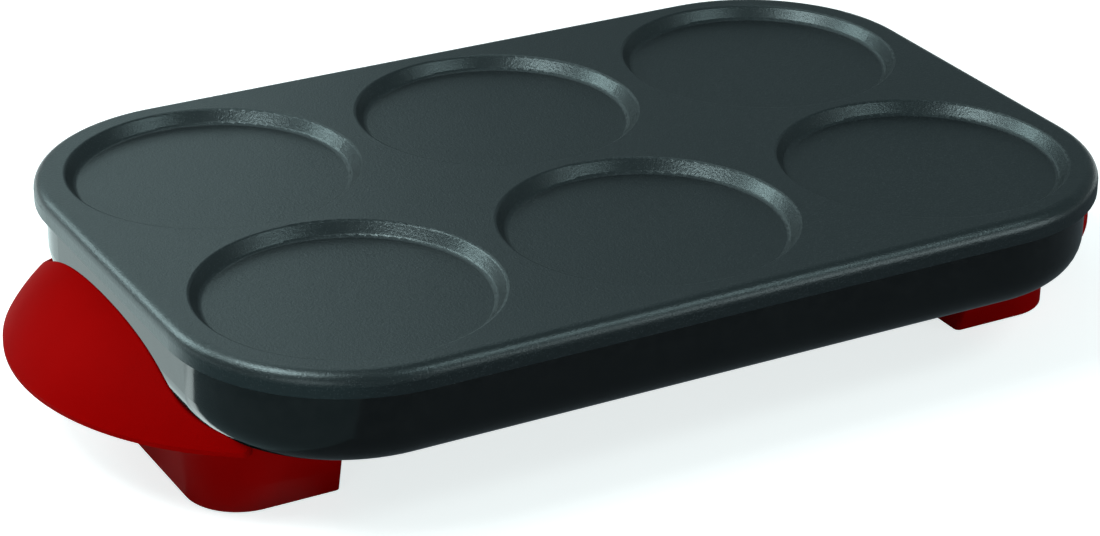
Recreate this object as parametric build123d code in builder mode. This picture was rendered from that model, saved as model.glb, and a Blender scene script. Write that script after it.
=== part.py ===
"""Open-topped mini pancake maker with six wells, in millimetres.

A cast cooking plate with six round wells sits like a lid on a deep pressed base pan. Each end of the pan
rests on a moulded end piece: a pedestal foot below it and a domed carrying handle outside it. A sheathed
heating element, its reflector tray and the controls are inside the pan, and the wiring is in the right foot.

Frame: X runs along the length, Y from front to back, Z up. The origin is the middle of the footprint, on
the surface that the maker stands on.
"""
import math
import os

from build123d import *

os.makedirs("parts", exist_ok=True)

# Overall
TOP_Z = 82.3
GROUND_GAP = 0.8

# Cooking plate
PLATE_LENGTH = 434.8
PLATE_WIDTH = 288.2
PLATE_CORNER = 77.7
PLATE_THICKNESS = 3.5
RIM_DEPTH = 10.5
RIM_ROUND = 5.7
RIM_WALL = 2.6
WELL_FLOOR_R = 60.0
WELL_RIM_R = 64.0
WELL_DEPTH = 6.0
WELL_FLOOR_ROUND = 2.5
WELL_EDGE_ROUND = 1.6
CUP_WALL = 3.0
PITCH_X = 139.5
PITCH_Y = 135.0
LUG_LENGTH = 24.0
LUG_THICKNESS = 3.0
LUG_DEPTH = 3.5

# Base pan
PAN_LENGTH = 424.2
PAN_WIDTH = 275.6
PAN_CORNER = 69.5
PAN_BASE_Z = 35.9
PAN_ROUND = 15.7
PAN_SHEET = 1.0
FLANGE_WIDTH = 4.2
PANEL_LENGTH = 240.0
PANEL_WIDTH = 190.0
PANEL_RISE = 1.2

# Handles: a dome turned about an upright axis, cut off beside the pan
DOME_AXIS_X = 138.0
DOME_R = 118.0
DOME_EDGE_Z = 37.5
DOME_FOOT_Z = 35.6
DOME_MID = (99.0, 58.2)
DOME_CREST = (79.0, 67.0)
DOME_WALL = 3.0
HANDLE_INNER_X = 217.0
HANDLE_GAP = 4.9
HANDLE_INNER_WALL = 3.0
SEAT_CLEARANCE = 0.4
NEST_LOW_Z = 40.6
NEST_ROUND = 16.0
DOME_TAIL_X = 196.0
DOME_TAIL_ROUND = 4.0
CREST_ROUND = 1.2

# Pedestal feet
FOOT_INNER_X = 152.5
FOOT_OUTER_X = 210.4
FOOT_HALF_Y = 84.4
FOOT_CORNER = 24.0
FOOT_TOP_INNER_X = 154.5
FOOT_TOP_OUTER_X = 211.0
FOOT_TOP_HALF_Y = 96.0
FOOT_TOP_CORNER = 42.0
FOOT_INNER_CORNER = 2.5
FOOT_WALL = 3.0
ROOF_THICKNESS = 3.0
BOSS_R = 4.5
BOSS_BORE_R = 1.3
BOSS_PLACES = [(163.5, -66.0), (163.5, 66.0), (199.0, -50.0), (199.0, 50.0)]
RIB_THICKNESS = 2.0
RIB_Y = 28.0
RIB_DEPTH = 12.0

# Underside covers, pads and screws
COVER_THICKNESS = 2.5
COVER_CLEARANCE = 0.3
COVER_SCREW_R = 1.2
COVER_SCREW_LENGTH = 10.0
COVER_HEAD_R = 2.9
COVER_HEAD_DEPTH = 1.2
PAD_R = 9.0
PAD_RECESS = 1.6
PAD_PLACES = [(184.0, -64.0), (184.0, 64.0)]
MOUNT_SCREW_R = 2.0
MOUNT_HEAD_R = 4.0
MOUNT_HEAD_DEPTH = 2.4
MOUNT_PLACES = [(170.0, -45.0), (170.0, 45.0), (188.0, -21.5), (188.0, 21.5)]
NUT_WIDTH = 7.0
NUT_HEIGHT = 3.2
SCREW_CLEARANCE = 0.15

# Heating element
TUBE_R = 3.25
TUBE_GAP = 0.45
RUN_OUTER_Y = 98.0
RUN_INNER_Y = 37.0
RUN_LEFT_X = -175.0
RUN_RIGHT_X = 160.0
RUN_MID_X = 118.0
TERMINAL_Y = 13.0
TERMINAL_X = 186.0
BEND_R = 29.0
SMALL_BEND_R = 12.0
BEAD_R = 4.6
BEAD_LENGTH = 8.0
PIN_R = 1.25
PIN_LENGTH = 7.0
TAB_WIDTH = 6.3
TAB_THICKNESS = 0.8
TAB_LENGTH = 6.0
CLIP_X = 69.75
CLIP_WIDTH = 8.0
CLIP_SHEET = 1.0
CLIP_FOOT = 14.0

# Reflector tray and its spacers
TRAY_TOP_Z = 63.0
TRAY_SHEET = 1.0
TRAY_LEFT_X = -195.0
TRAY_RIGHT_X = 171.0
TRAY_WIDTH = 250.0
TRAY_CORNER = 55.0
TRAY_LIP = 3.0
SPACER_R = 5.0
SPACER_PLACES = [(-140.0, -67.5), (-140.0, 67.5), (0.0, -108.0), (0.0, 108.0), (140.0, -67.5), (140.0, 67.5)]
TRAY_SCREW_R = 1.75
TRAY_HEAD_R = 3.4
TRAY_HEAD_DEPTH = 2.0
TRAY_SCREW_LENGTH = 12.0
TRAY_WINDOW_LENGTH = 20.0
TRAY_WINDOW_WIDTH = 16.0

# Thermostat and thermal fuse
THERMOSTAT_X = 69.75
THERMOSTAT_R = 7.6
THERMOSTAT_CAP_R = 8.4
THERMOSTAT_BASE_Z = 66.5
THERMOSTAT_CAP_Z = 74.8
THERMOSTAT_TOP_Z = 78.3
THERMOSTAT_TAB_Y = 4.5
THERMOSTAT_TAB_DROP = 8.0
BRACKET_LENGTH = 46.0
BRACKET_WIDTH = 20.0
BRACKET_FOOT = 6.0
FUSE_Z = 54.0
FUSE_START_Y = -7.0
FUSE_R = 2.0
FUSE_LENGTH = 11.0
FUSE_LEAD_R = 0.6
FUSE_LEAD_LENGTH = 7.0

# Mains inlet in the back wall of the right foot
INLET_X = 182.0
INLET_Z = 18.0
INLET_FACE_Y = 97.0
INLET_COLLAR_DEPTH = 19.0
INLET_COLLAR_WIDTH = 38.0
INLET_COLLAR_HEIGHT = 26.0
INLET_BODY_WIDTH = 29.0
INLET_BODY_HEIGHT = 20.0
INLET_BODY_DEPTH = 22.0
INLET_CLEARANCE = 0.2
INLET_FLANGE = 1.6
INLET_FLANGE_MARGIN = 2.5
INLET_ROUND = 2.0
INLET_RECESS_WIDTH = 24.4
INLET_RECESS_HEIGHT = 15.6
INLET_RECESS_DEPTH = 16.0
INLET_PIN_PITCH = 14.0
INLET_PIN_DROP = 2.0
INLET_PIN_RISE = 2.5
INLET_PIN_WIDTH = 2.0
INLET_PIN_HEIGHT = 4.0
INLET_TAB_LENGTH = 9.0
INLET_PIN_SETBACK = 2.0

# Pilot light on the right handle
PILOT_X = 230.0
PILOT_BORE_R = 6.8
PILOT_HOLDER_R = 6.5
PILOT_HOLDER_BORE_R = 4.6
PILOT_HOLDER_DEPTH = 20.0
PILOT_FLANGE_R = 8.6
PILOT_FLANGE = 1.5
PILOT_SINK = 0.7
PILOT_LENS_R = 6.6
PILOT_LENS_RISE = 2.4
PILOT_LENS_SKIRT = 4.0
PILOT_LENS_WALL = 1.2
LAMP_R = 2.9
LAMP_LENGTH = 13.0
LAMP_START = 3.6
COLUMN_HALF_Y = 9.0
COLUMN_OUTER_X = 240.0
COLUMN_FOOT_Z = 18.0
DUCT_HALF_Y = 5.0
DUCT_INNER_X = 204.0
DUCT_OUTER_X = 227.0
DUCT_LOW_Z = 22.0
DUCT_TOP_Z = 47.0

# Wiring
LEAD_R = 1.3
GROMMET_X = 184.0
GROMMET_R = 8.0
GROMMET_BORE_R = 5.6
GROMMET_LIP = 2.0
GROMMET_FIT = 0.05
STUD_R = 2.0
STUD_X = 150.0
RING_R = 4.4
RING_TONGUE = 8.0
RING_THICKNESS = 0.8

# Heights that follow from the sizes above
PLATE_UNDER_Z = TOP_Z - PLATE_THICKNESS
RIM_LOW_Z = TOP_Z - RIM_DEPTH
CUP_UNDER_Z = TOP_Z - WELL_DEPTH - CUP_WALL
WELL_TAPER = math.degrees(math.atan((WELL_RIM_R - WELL_FLOOR_R) / WELL_DEPTH))
CUP_TOP_R = WELL_RIM_R + CUP_WALL / math.cos(math.radians(WELL_TAPER)) - (
    PLATE_THICKNESS * math.tan(math.radians(WELL_TAPER))
)
ELEMENT_Z = CUP_UNDER_Z - TUBE_GAP - TUBE_R
PAN_FLOOR_Z = PAN_BASE_Z + PAN_SHEET
ROOF_UNDER_Z = PAN_BASE_Z - ROOF_THICKNESS
COVER_TOP_Z = GROUND_GAP + COVER_THICKNESS


def arc_through(first, second, third):
    """Centre and radius of the circle through three points of a plane."""
    ax, ay = first
    bx, by = second
    cx, cy = third
    twice_area = 2 * (ax * (by - cy) + bx * (cy - ay) + cx * (ay - by))
    a2, b2, c2 = ax**2 + ay**2, bx**2 + by**2, cx**2 + cy**2
    centre_x = (a2 * (by - cy) + b2 * (cy - ay) + c2 * (ay - by)) / twice_area
    centre_y = (a2 * (cx - bx) + b2 * (ax - cx) + c2 * (bx - ax)) / twice_area
    return centre_x, centre_y, math.hypot(ax - centre_x, ay - centre_y)


DOME_ARC_R_OFFSET, DOME_ARC_Z, DOME_ARC_R = arc_through((DOME_R, DOME_EDGE_Z), DOME_MID, DOME_CREST)


def foot_outline(height, inset):
    """Plan of the left foot at a height, moved in by a wall thickness."""
    share = (height - GROUND_GAP) / (PAN_BASE_Z - GROUND_GAP)
    outer_x = FOOT_OUTER_X + share * (FOOT_TOP_OUTER_X - FOOT_OUTER_X) - inset
    half_y = FOOT_HALF_Y + share * (FOOT_TOP_HALF_Y - FOOT_HALF_Y) - inset
    corner = FOOT_CORNER + share * (FOOT_TOP_CORNER - FOOT_CORNER) - inset
    inner_x = FOOT_INNER_X + share * (FOOT_TOP_INNER_X - FOOT_INNER_X) + inset
    with BuildSketch(Plane.XY.offset(height)) as outline:
        with Locations((-(outer_x + inner_x) / 2, 0)):
            Rectangle(outer_x - inner_x, 2 * half_y)
        fillet(outline.vertices().group_by(Axis.X)[0], corner)
        fillet(outline.vertices().group_by(Axis.X)[-1], max(FOOT_INNER_CORNER - inset, 1.0))
    return outline.sketch


def dome_profile(foot_z):
    """Half section of the left dome, from its upright axis out to its edge."""
    with BuildSketch(Plane.XZ) as profile:
        with BuildLine():
            arc = ThreePointArc(
                (-DOME_AXIS_X - DOME_R, DOME_EDGE_Z),
                (-DOME_AXIS_X - DOME_MID[0], DOME_MID[1]),
                (-DOME_AXIS_X - DOME_CREST[0], DOME_CREST[1]),
            )
            Polyline(
                arc @ 1,
                (-DOME_AXIS_X, DOME_CREST[1]),
                (-DOME_AXIS_X, foot_z),
                (-DOME_AXIS_X - DOME_R, foot_z),
                arc @ 0,
            )
        make_face()
    return profile.sketch


def both_sides(places):
    """The places given for the right end, on the left end."""
    return [(-x, y) for x, y in places]


def tube_along(points, radius, corner_radii):
    """Round tube swept along straight runs joined by tangent arcs, added to the open part."""
    with BuildLine() as path:
        FilletPolyline(*points, radius=corner_radii)
    start = path.line @ 0
    with BuildSketch(Plane(origin=start, z_dir=path.line % 0)) as section:
        Circle(radius)
    sweep(section.sketch, path=path.line)


DOME_AXIS = Axis((-DOME_AXIS_X, 0, 0), (0, 0, 1))
WELL_GRID = GridLocations(PITCH_X, PITCH_Y, 3, 2)

# Plane of the inlet's mouth, looking out to the back, and the places of its pins on it
INLET_PLANE = Plane(origin=(INLET_X, INLET_FACE_Y, INLET_Z), x_dir=(1, 0, 0), z_dir=(0, 1, 0))
PIN_PLACES = [
    (-INLET_PIN_PITCH / 2, INLET_PIN_DROP),
    (INLET_PIN_PITCH / 2, INLET_PIN_DROP),
    (0, -INLET_PIN_RISE),
]

# Plane that touches the right dome where the pilot light sits
PILOT_R = PILOT_X - DOME_AXIS_X
PILOT_TILT = math.asin((PILOT_R - DOME_ARC_R_OFFSET) / DOME_ARC_R)
PILOT_Z = DOME_ARC_Z + DOME_ARC_R * math.cos(PILOT_TILT)
PILOT_PLANE = Plane(
    origin=(PILOT_X, 0, PILOT_Z), x_dir=(0, 1, 0), z_dir=(math.sin(PILOT_TILT), 0, math.cos(PILOT_TILT))
)

# Ends of the wires
TAB_START_X = TERMINAL_X + BEAD_LENGTH + PIN_LENGTH / 2
TAB_UNDER_Z = ELEMENT_Z - TAB_THICKNESS / 2
TAB_WIRE_X = TAB_START_X + TAB_LENGTH
INLET_TAB_Y = INLET_FACE_Y - INLET_BODY_DEPTH - INLET_TAB_LENGTH
LINE_Z = INLET_Z - INLET_PIN_DROP
EARTH_Z = INLET_Z + INLET_PIN_RISE
LIVE_X = GROMMET_X - 2.6
NEUTRAL_X = GROMMET_X + 2.6
PILOT_WIRE = PILOT_PLANE.from_local_coords((0, 0, -(LAMP_START + LAMP_LENGTH)))
PILOT_WIRE_END = PILOT_PLANE.from_local_coords((0, 0, -PILOT_HOLDER_DEPTH - 4))
TAB_WIRE_Z = THERMOSTAT_BASE_Z - THERMOSTAT_TAB_DROP

# Wires, by name: the points of each route and the radius of the arc at each point between its ends
WIRE_ROUTES = {
    "live_wire": (
        [
            (INLET_X - INLET_PIN_PITCH / 2, INLET_TAB_Y, LINE_Z),
            (INLET_X - INLET_PIN_PITCH / 2, 44, LINE_Z),
            (LIVE_X, 20, LINE_Z),
            (LIVE_X, 1, LINE_Z),
            (LIVE_X, 1, FUSE_Z),
            (LIVE_X, FUSE_START_Y, FUSE_Z),
        ],
        [12, 12, 8, 3.5],
    ),
    "fused_wire": (
        [
            (LIVE_X, FUSE_START_Y - 2 * FUSE_LEAD_LENGTH - FUSE_LENGTH, FUSE_Z),
            (LIVE_X, -44, FUSE_Z),
            (150, -50, 52),
            (112, -30, 50),
            (90, -THERMOSTAT_TAB_Y, 49),
            (THERMOSTAT_X, -THERMOSTAT_TAB_Y, 49),
            (THERMOSTAT_X, -THERMOSTAT_TAB_Y, TAB_WIRE_Z),
        ],
        [5, 20, 20, 12, 4],
    ),
    "switched_wire": (
        [
            (THERMOSTAT_X, THERMOSTAT_TAB_Y, TAB_WIRE_Z),
            (THERMOSTAT_X, THERMOSTAT_TAB_Y, 47),
            (110, 12, 46),
            (150, 16, 46),
            (191, 12, 46),
            (TAB_WIRE_X, -2, 47),
            (TAB_WIRE_X, -TERMINAL_Y, 52),
            (TAB_WIRE_X, -TERMINAL_Y, TAB_UNDER_Z),
        ],
        [5, 40, 40, 8, 5, 5],
    ),
    "neutral_wire": (
        [
            (INLET_X + INLET_PIN_PITCH / 2, INLET_TAB_Y, LINE_Z),
            (INLET_X + INLET_PIN_PITCH / 2, 44, LINE_Z),
            (NEUTRAL_X, 20, LINE_Z),
            (NEUTRAL_X, 1, LINE_Z),
            (NEUTRAL_X, 1, 48),
            (195, 8, 57),
            (TAB_WIRE_X, TERMINAL_Y, 60),
            (TAB_WIRE_X, TERMINAL_Y, TAB_UNDER_Z),
        ],
        [30, 30, 8, 10, 6, 4],
    ),
    "earth_wire": (
        [
            (INLET_X, INLET_TAB_Y, EARTH_Z),
            (INLET_X, 54, EARTH_Z),
            (183, 42, 13),
            (GROMMET_X, 20, 12),
            (GROMMET_X, -2.6, 12),
            (GROMMET_X, -2.6, 50),
            (170, -2, 50),
            (166, -1, PAN_FLOOR_Z + RING_THICKNESS + LEAD_R),
            (STUD_X + NUT_WIDTH * 0.7, 0, PAN_FLOOR_Z + RING_THICKNESS + LEAD_R),
        ],
        [8, 8, 20, 8, 5, 4, 4],
    ),
    "lamp_wire": (
        [
            PILOT_WIRE,
            PILOT_WIRE_END,
            (212, 0, 28),
            (201, 0, 26),
            (192, 14, 12),
            (192, 52, 12),
            (196, 62, LINE_Z),
            (196, 71, LINE_Z),
            (INLET_X + INLET_PIN_PITCH / 2 + INLET_PIN_WIDTH / 2, 71, LINE_Z),
        ],
        [8, 6, 5, 8, 10, 6, 2.5],
    ),
}

# Cooking plate: a shallow lid with a deep rounded rim, six wells and the lugs that centre it on the pan
with BuildPart() as cooking_plate:
    with BuildSketch(Plane.XY.offset(RIM_LOW_Z)):
        RectangleRounded(PLATE_LENGTH, PLATE_WIDTH, PLATE_CORNER)
    extrude(amount=RIM_DEPTH)
    fillet(cooking_plate.faces().sort_by(Axis.Z)[-1].edges(), RIM_ROUND)
    with BuildSketch(Plane.XY.offset(RIM_LOW_Z)):
        RectangleRounded(PLATE_LENGTH - 2 * RIM_WALL, PLATE_WIDTH - 2 * RIM_WALL, PLATE_CORNER - RIM_WALL)
    extrude(amount=RIM_DEPTH - PLATE_THICKNESS, mode=Mode.SUBTRACT)
    with BuildSketch(Plane.XY.offset(PLATE_UNDER_Z)):
        with WELL_GRID:
            Circle(CUP_TOP_R)
    extrude(amount=-(PLATE_UNDER_Z - CUP_UNDER_Z), taper=WELL_TAPER)
    with BuildSketch(Plane.XY.offset(TOP_Z)):
        with WELL_GRID:
            Circle(WELL_RIM_R)
    extrude(amount=-WELL_DEPTH, taper=WELL_TAPER, mode=Mode.SUBTRACT)
    circles = cooking_plate.edges().filter_by(GeomType.CIRCLE)
    floor_z = TOP_Z - WELL_DEPTH
    fillet(circles.filter_by_position(Axis.Z, floor_z - 0.01, floor_z + 0.01), WELL_FLOOR_ROUND)
    circles = cooking_plate.edges().filter_by(GeomType.CIRCLE)
    well_edges = [edge for edge in circles.group_by(Axis.Z)[-1] if abs(edge.radius - WELL_RIM_R) < 0.1]
    fillet(well_edges, WELL_EDGE_ROUND)
    lug_x = PAN_LENGTH / 2 - FLANGE_WIDTH - COVER_CLEARANCE - LUG_THICKNESS / 2
    lug_y = PAN_WIDTH / 2 - FLANGE_WIDTH - COVER_CLEARANCE - LUG_THICKNESS / 2
    with BuildSketch(Plane.XY.offset(PLATE_UNDER_Z)):
        with Locations((-lug_x, 0), (lug_x, 0)):
            SlotOverall(LUG_LENGTH, LUG_THICKNESS, rotation=90)
        with GridLocations(PITCH_X, 2 * lug_y, 2, 2):
            SlotOverall(LUG_LENGTH, LUG_THICKNESS)
    extrude(amount=-LUG_DEPTH)
cooking_plate.part.label = "cooking_plate"

# Base pan: a deep drawn tray with a wide bottom round, an inward flange on top and a pressed bottom
with BuildPart() as base_pan:
    with BuildSketch(Plane.XY.offset(PAN_BASE_Z)):
        RectangleRounded(PAN_LENGTH, PAN_WIDTH, PAN_CORNER)
    extrude(amount=PLATE_UNDER_Z - PAN_BASE_Z)
    fillet(base_pan.faces().sort_by(Axis.Z)[0].edges(), PAN_ROUND)
    offset(amount=-PAN_SHEET, openings=base_pan.faces().sort_by(Axis.Z)[-1])
    with BuildSketch(Plane.XY.offset(PLATE_UNDER_Z)):
        RectangleRounded(PAN_LENGTH, PAN_WIDTH, PAN_CORNER)
        RectangleRounded(
            PAN_LENGTH - 2 * FLANGE_WIDTH,
            PAN_WIDTH - 2 * FLANGE_WIDTH,
            PAN_CORNER - FLANGE_WIDTH,
            mode=Mode.SUBTRACT,
        )
    extrude(amount=-PAN_SHEET)
    with BuildSketch(Plane.XY.offset(PAN_BASE_Z)):
        RectangleRounded(PANEL_LENGTH, PANEL_WIDTH, SMALL_BEND_R)
    extrude(amount=PANEL_RISE, mode=Mode.SUBTRACT)
    with BuildSketch(Plane.XY.offset(PAN_FLOOR_Z)):
        RectangleRounded(PANEL_LENGTH + 2 * PAN_SHEET, PANEL_WIDTH + 2 * PAN_SHEET, SMALL_BEND_R + PAN_SHEET)
    extrude(amount=PANEL_RISE)
    with BuildSketch(Plane.XY.offset(PAN_BASE_Z)):
        with Locations((GROMMET_X, 0)):
            Circle(GROMMET_R)
        with Locations(*(MOUNT_PLACES + both_sides(MOUNT_PLACES))):
            Circle(MOUNT_SCREW_R + SCREW_CLEARANCE)
        with Locations((STUD_X, 0)):
            Circle(STUD_R + SCREW_CLEARANCE)
    extrude(amount=2 * PAN_SHEET, mode=Mode.SUBTRACT)
base_pan.part.label = "base_pan"

# Space that the pan and its rim take out of an end piece
with BuildPart() as pan_space:
    with BuildSketch(Plane.XY.offset(PAN_BASE_Z)):
        RectangleRounded(
            PAN_LENGTH + 2 * SEAT_CLEARANCE, PAN_WIDTH + 2 * SEAT_CLEARANCE, PAN_CORNER + SEAT_CLEARANCE
        )
    extrude(amount=TOP_Z - PAN_BASE_Z)
    fillet(pan_space.faces().sort_by(Axis.Z)[0].edges(), PAN_ROUND + SEAT_CLEARANCE)
    with BuildPart(mode=Mode.PRIVATE) as nest:
        with BuildSketch(Plane.XY.offset(NEST_LOW_Z)):
            RectangleRounded(PAN_LENGTH + 2 * HANDLE_GAP, PAN_WIDTH + 2 * HANDLE_GAP, PAN_CORNER + HANDLE_GAP)
        extrude(amount=TOP_Z - NEST_LOW_Z)
        fillet(nest.faces().sort_by(Axis.Z)[0].edges(), NEST_ROUND)
    add(nest.part)

# Hollow under the wing, where the fingers go
with BuildPart() as wing_hollow:
    revolve(offset(dome_profile(DOME_FOOT_Z - 2 * DOME_WALL), -DOME_WALL, mode=Mode.PRIVATE), axis=DOME_AXIS)
    hollow_edge_x = HANDLE_INNER_X + HANDLE_INNER_WALL
    with BuildSketch(Plane.XY):
        with Locations((-hollow_edge_x, 0)):
            Rectangle(DOME_R, 2 * DOME_R, align=(Align.MAX, Align.CENTER))
    extrude(amount=TOP_Z, mode=Mode.INTERSECT)

# End piece as moulded for the left end: a dome turned about an upright axis, blended into a hollow foot
with BuildPart() as end_piece:
    revolve(dome_profile(DOME_FOOT_Z), axis=DOME_AXIS)
    with BuildSketch(Plane.XY) as dome_plan:
        with Locations((-DOME_AXIS_X, 0)):
            Circle(DOME_R)
        with Locations((-DOME_TAIL_X, 0)):
            Rectangle(DOME_R, 2 * DOME_R, align=(Align.MAX, Align.CENTER), mode=Mode.INTERSECT)
        fillet(dome_plan.vertices(), DOME_TAIL_ROUND)
    extrude(amount=TOP_Z, mode=Mode.INTERSECT)
    loft([foot_outline(GROUND_GAP, 0), foot_outline(PAN_BASE_Z, 0)])
    add(pan_space.part, mode=Mode.SUBTRACT)
    crest_edges = end_piece.edges().filter_by_position(Axis.Z, NEST_LOW_Z + NEST_ROUND, TOP_Z)
    fillet(crest_edges.filter_by_position(Axis.X, -HANDLE_INNER_X - 0.5, -DOME_TAIL_X), CREST_ROUND)
    add(wing_hollow.part, mode=Mode.SUBTRACT)
    loft([foot_outline(GROUND_GAP, FOOT_WALL), foot_outline(ROOF_UNDER_Z, FOOT_WALL)], mode=Mode.SUBTRACT)
    with BuildSketch(Plane.XY.offset(ROOF_UNDER_Z)):
        with Locations(*both_sides(BOSS_PLACES)):
            Circle(BOSS_R)
    extrude(amount=-(ROOF_UNDER_Z - COVER_TOP_Z))
    with BuildSketch(Plane.XY.offset(ROOF_UNDER_Z)):
        for rib_y in (-RIB_Y, RIB_Y):
            with Locations((-(FOOT_INNER_X + FOOT_OUTER_X) / 2, rib_y)):
                Rectangle(FOOT_OUTER_X - FOOT_INNER_X - FOOT_WALL, RIB_THICKNESS)
    extrude(amount=-RIB_DEPTH)
    with BuildSketch(Plane.XY.offset(COVER_TOP_Z)):
        with Locations(*both_sides(BOSS_PLACES)):
            Circle(BOSS_BORE_R)
    extrude(amount=RIB_DEPTH, mode=Mode.SUBTRACT)
    with BuildSketch(Plane.XY.offset(ROOF_UNDER_Z)):
        with Locations(*both_sides(MOUNT_PLACES)):
            Circle(MOUNT_SCREW_R + SCREW_CLEARANCE)
    extrude(amount=ROOF_THICKNESS, mode=Mode.SUBTRACT)

# Left end piece, as moulded
with BuildPart() as left_handle:
    add(end_piece.part)
left_handle.part.label = "left_handle"

# Column on the right handle that holds the pilot light and leads its wires down into the foot
with BuildPart() as pilot_column:
    revolve(dome_profile(COLUMN_FOOT_Z), axis=DOME_AXIS)
    with BuildSketch(Plane.XY.offset(COLUMN_FOOT_Z)):
        with Locations((-FOOT_OUTER_X, 0)):
            Rectangle(COLUMN_OUTER_X - FOOT_OUTER_X, 2 * COLUMN_HALF_Y, align=(Align.MAX, Align.CENTER))
    extrude(amount=TOP_Z, mode=Mode.INTERSECT)
    add(pan_space.part, mode=Mode.SUBTRACT)

# Right end piece: the mirror image, with the pilot column, the wire hole and the inlet collar
with BuildPart() as right_handle:
    add(end_piece.part)
    add(pilot_column.part)
    mirror(about=Plane.YZ, mode=Mode.REPLACE)
    with BuildSketch(PILOT_PLANE.offset(-PILOT_HOLDER_DEPTH)):
        Circle(PILOT_BORE_R)
    extrude(amount=2 * PILOT_HOLDER_DEPTH, mode=Mode.SUBTRACT)
    with BuildSketch(PILOT_PLANE.offset(-PILOT_SINK)):
        Circle(PILOT_FLANGE_R + SCREW_CLEARANCE)
    extrude(amount=PILOT_HOLDER_DEPTH, mode=Mode.SUBTRACT)
    with BuildSketch(Plane.XY.offset(DUCT_LOW_Z)):
        with Locations((DUCT_INNER_X, 0)):
            Rectangle(DUCT_OUTER_X - DUCT_INNER_X, 2 * DUCT_HALF_Y, align=(Align.MIN, Align.CENTER))
    extrude(amount=DUCT_TOP_Z - DUCT_LOW_Z, mode=Mode.SUBTRACT)
    with BuildSketch(Plane.XY.offset(ROOF_UNDER_Z)):
        with Locations((GROMMET_X, 0)):
            Circle(GROMMET_R)
    extrude(amount=ROOF_THICKNESS, mode=Mode.SUBTRACT)
    with BuildSketch(INLET_PLANE.offset(-INLET_COLLAR_DEPTH)):
        RectangleRounded(INLET_COLLAR_WIDTH, INLET_COLLAR_HEIGHT, INLET_ROUND)
    extrude(amount=INLET_COLLAR_DEPTH)
    with BuildSketch(INLET_PLANE):
        Rectangle(INLET_BODY_WIDTH + 2 * INLET_CLEARANCE, INLET_BODY_HEIGHT + 2 * INLET_CLEARANCE)
    extrude(amount=-2 * INLET_COLLAR_DEPTH, mode=Mode.SUBTRACT)
right_handle.part.label = "right_handle"
parts = [cooking_plate, base_pan, left_handle, right_handle]

# Underside covers, one in each foot, with recesses for the pads and counterbored screw holes
with BuildPart() as left_cover:
    extrude(foot_outline(GROUND_GAP, FOOT_WALL + COVER_CLEARANCE), amount=COVER_THICKNESS)
    with BuildSketch(Plane.XY.offset(GROUND_GAP)):
        with Locations(*both_sides(PAD_PLACES)):
            Circle(PAD_R)
    extrude(amount=PAD_RECESS, mode=Mode.SUBTRACT)
    with Locations(Plane.XY.offset(GROUND_GAP)):
        with Locations(*[(x, y, 0) for x, y in both_sides(BOSS_PLACES)]):
            with Locations(Rotation(180, 0, 0)):
                CounterBoreHole(
                    COVER_SCREW_R + SCREW_CLEARANCE,
                    COVER_HEAD_R + SCREW_CLEARANCE,
                    COVER_HEAD_DEPTH + SCREW_CLEARANCE,
                    COVER_THICKNESS,
                )
left_cover.part.label = "left_cover"

with BuildPart() as right_cover:
    add(left_cover.part)
    mirror(about=Plane.YZ, mode=Mode.REPLACE)
right_cover.part.label = "right_cover"

# Rubber pads in the covers' recesses
with BuildPart() as foot_pads:
    with BuildSketch(Plane.XY):
        with Locations(*(PAD_PLACES + both_sides(PAD_PLACES))):
            Circle(PAD_R)
    extrude(amount=GROUND_GAP + PAD_RECESS)
    fillet(foot_pads.edges().group_by(Axis.Z)[0], GROUND_GAP * 0.6)
foot_pads.part.label = "foot_pads"

# Cover screws
with BuildPart() as cover_screws:
    with BuildSketch(Plane.XY.offset(GROUND_GAP + SCREW_CLEARANCE)):
        with Locations(*(BOSS_PLACES + both_sides(BOSS_PLACES))):
            Circle(COVER_HEAD_R)
    extrude(amount=COVER_HEAD_DEPTH)
    with BuildSketch(Plane.XY.offset(GROUND_GAP + SCREW_CLEARANCE)):
        with Locations(*(BOSS_PLACES + both_sides(BOSS_PLACES))):
            Circle(COVER_SCREW_R)
    extrude(amount=COVER_SCREW_LENGTH)
    with BuildSketch(Plane.XY.offset(GROUND_GAP + SCREW_CLEARANCE)):
        with Locations(*(BOSS_PLACES + both_sides(BOSS_PLACES))):
            Rectangle(2 * COVER_SCREW_R, COVER_SCREW_R / 3)
            Rectangle(COVER_SCREW_R / 3, 2 * COVER_SCREW_R)
    extrude(amount=COVER_HEAD_DEPTH / 2, mode=Mode.SUBTRACT)
cover_screws.part.label = "cover_screws"

# Screws up through each foot's roof into the pan, and the nuts on the pan's floor
mount_places = MOUNT_PLACES + both_sides(MOUNT_PLACES)
nut_top_z = PAN_FLOOR_Z + NUT_HEIGHT
with BuildPart() as handle_screws:
    with BuildSketch(Plane.XY.offset(ROOF_UNDER_Z)):
        with Locations(*mount_places):
            Circle(MOUNT_HEAD_R)
    extrude(amount=-MOUNT_HEAD_DEPTH)
    with BuildSketch(Plane.XY.offset(ROOF_UNDER_Z)):
        with Locations(*mount_places):
            Circle(MOUNT_SCREW_R)
    extrude(amount=nut_top_z + 1 - ROOF_UNDER_Z)
handle_screws.part.label = "handle_screws"

with BuildPart() as handle_nuts:
    with BuildSketch(Plane.XY.offset(PAN_FLOOR_Z)):
        with Locations(*mount_places):
            RegularPolygon(NUT_WIDTH / 2, 6, major_radius=False)
            Circle(MOUNT_SCREW_R + GROMMET_FIT, mode=Mode.SUBTRACT)
    extrude(amount=NUT_HEIGHT)
handle_nuts.part.label = "handle_nuts"
parts += [left_cover, right_cover, foot_pads, cover_screws, handle_screws, handle_nuts]

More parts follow.
